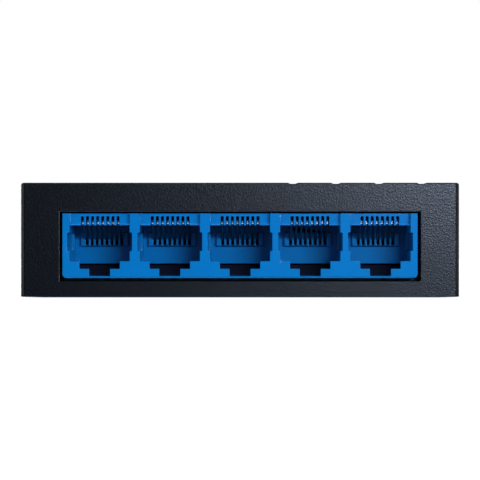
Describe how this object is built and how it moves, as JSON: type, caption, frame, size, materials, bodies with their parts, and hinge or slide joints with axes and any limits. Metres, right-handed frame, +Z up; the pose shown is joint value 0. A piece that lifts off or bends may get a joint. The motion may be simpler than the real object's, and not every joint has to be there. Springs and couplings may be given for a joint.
{
  "type": "desktop network switch",
  "caption": "Small flat desktop network switch: a black box with a row of blue modular sockets in one long face and a round power inlet in the opposite face.",
  "frame": {"origin": "middle of the footprint, on the surface that the feet stand on", "axes": "+X to the right along the row of ports as seen from the ports face, +Y from the ports face to the inlet face, +Z up"},
  "size_m": [0.0874, 0.05, 0.0231],
  "materials": {
    "casing_plastic": "matte black moulded plastic with a fine spark-eroded grain",
    "port_plastic": "satin blue moulded plastic",
    "carrier_plastic": "dark blue moulded plastic inserts",
    "contact_gold": "gold-flashed phosphor bronze wire",
    "tinned_leads": "tinned metal",
    "board_laminate": "green solder mask on glass-epoxy laminate",
    "chip_mould": "matte black epoxy moulding",
    "black_plastic": "black moulded plastic",
    "can_metal": "drawn metal can",
    "ferrite": "dark sintered ferrite",
    "ceramic": "tan ceramic with metal ends",
    "resistor_film": "black film on ceramic",
    "screw_steel": "zinc-plated steel",
    "foot_rubber": "dark soft rubber",
    "label_film": "blank silver-grey polyester film",
    "light_guide": "clear polycarbonate",
    "led_body": "white package with a clear lens"
  },
  "bodies": {
    "switch": {"top_cover": "casing_plastic", "bottom_cover": "casing_plastic", "rating_label": "label_film", "case_screws": "screw_steel", "board_screws": "screw_steel", "foot_1": "foot_rubber", "foot_2": "foot_rubber", "foot_3": "foot_rubber", "foot_4": "foot_rubber", "circuit_board": "board_laminate", "port_housing": "port_plastic", "contact_carrier_1": "carrier_plastic", "contact_carrier_2": "carrier_plastic", "contact_carrier_3": "carrier_plastic", "contact_carrier_4": "carrier_plastic", "contact_carrier_5": "carrier_plastic", "contact_leads_1": "contact_gold", "contact_leads_2": "contact_gold", "contact_leads_3": "contact_gold", "contact_leads_4": "contact_gold", "contact_leads_5": "contact_gold", "magnetics_1": "chip_mould", "magnetics_2": "chip_mould", "magnetics_3": "chip_mould", "magnetics_4": "chip_mould", "magnetics_5": "chip_mould", "magnetics_leads": "tinned_leads", "switch_chip": "chip_mould", "switch_chip_leads": "tinned_leads", "crystal": "can_metal", "memory_chip": "chip_mould", "regulator_chip": "chip_mould", "rectifier_diode": "chip_mould", "small_chip_leads": "tinned_leads", "power_inductor": "ferrite", "capacitor_cans": "can_metal", "capacitor_bases": "black_plastic", "chip_resistors": "resistor_film", "chip_capacitors": "ceramic", "dc_jack_housing": "black_plastic", "dc_jack_pin": "tinned_leads", "dc_jack_terminals": "tinned_leads", "light_pipe": "light_guide", "status_leds": "led_body"},
    "port_1_arms": {"contact_springs_1": "contact_gold"},
    "port_2_arms": {"contact_springs_2": "contact_gold"},
    "port_3_arms": {"contact_springs_3": "contact_gold"},
    "port_4_arms": {"contact_springs_4": "contact_gold"},
    "port_5_arms": {"contact_springs_5": "contact_gold"},
    "inlet_leaf": {"dc_jack_spring": "tinned_leads"}
  },
  "joints": [
    {"name": "port_1_contact_flex", "type": "hinge", "parent": "switch", "child": "port_1_arms", "pos_m": [-0.02794, -0.0217, 0.01528], "axis": [1, 0, 0], "range_deg": [0, 8], "stiffness_Nm_per_rad": 0.2},
    {"name": "port_2_contact_flex", "type": "hinge", "parent": "switch", "child": "port_2_arms", "pos_m": [-0.01397, -0.0217, 0.01528], "axis": [1, 0, 0], "range_deg": [0, 8], "stiffness_Nm_per_rad": 0.2},
    {"name": "port_3_contact_flex", "type": "hinge", "parent": "switch", "child": "port_3_arms", "pos_m": [0, -0.0217, 0.01528], "axis": [1, 0, 0], "range_deg": [0, 8], "stiffness_Nm_per_rad": 0.2},
    {"name": "port_4_contact_flex", "type": "hinge", "parent": "switch", "child": "port_4_arms", "pos_m": [0.01397, -0.0217, 0.01528], "axis": [1, 0, 0], "range_deg": [0, 8], "stiffness_Nm_per_rad": 0.2},
    {"name": "port_5_contact_flex", "type": "hinge", "parent": "switch", "child": "port_5_arms", "pos_m": [0.02794, -0.0217, 0.01528], "axis": [1, 0, 0], "range_deg": [0, 8], "stiffness_Nm_per_rad": 0.2},
    {"name": "inlet_leaf_flex", "type": "hinge", "parent": "switch", "child": "inlet_leaf", "pos_m": [-0.028, 0.01505, 0.00663], "axis": [-1, 0, 0], "range_deg": [0, 4], "stiffness_Nm_per_rad": 0.05}
  ]
}
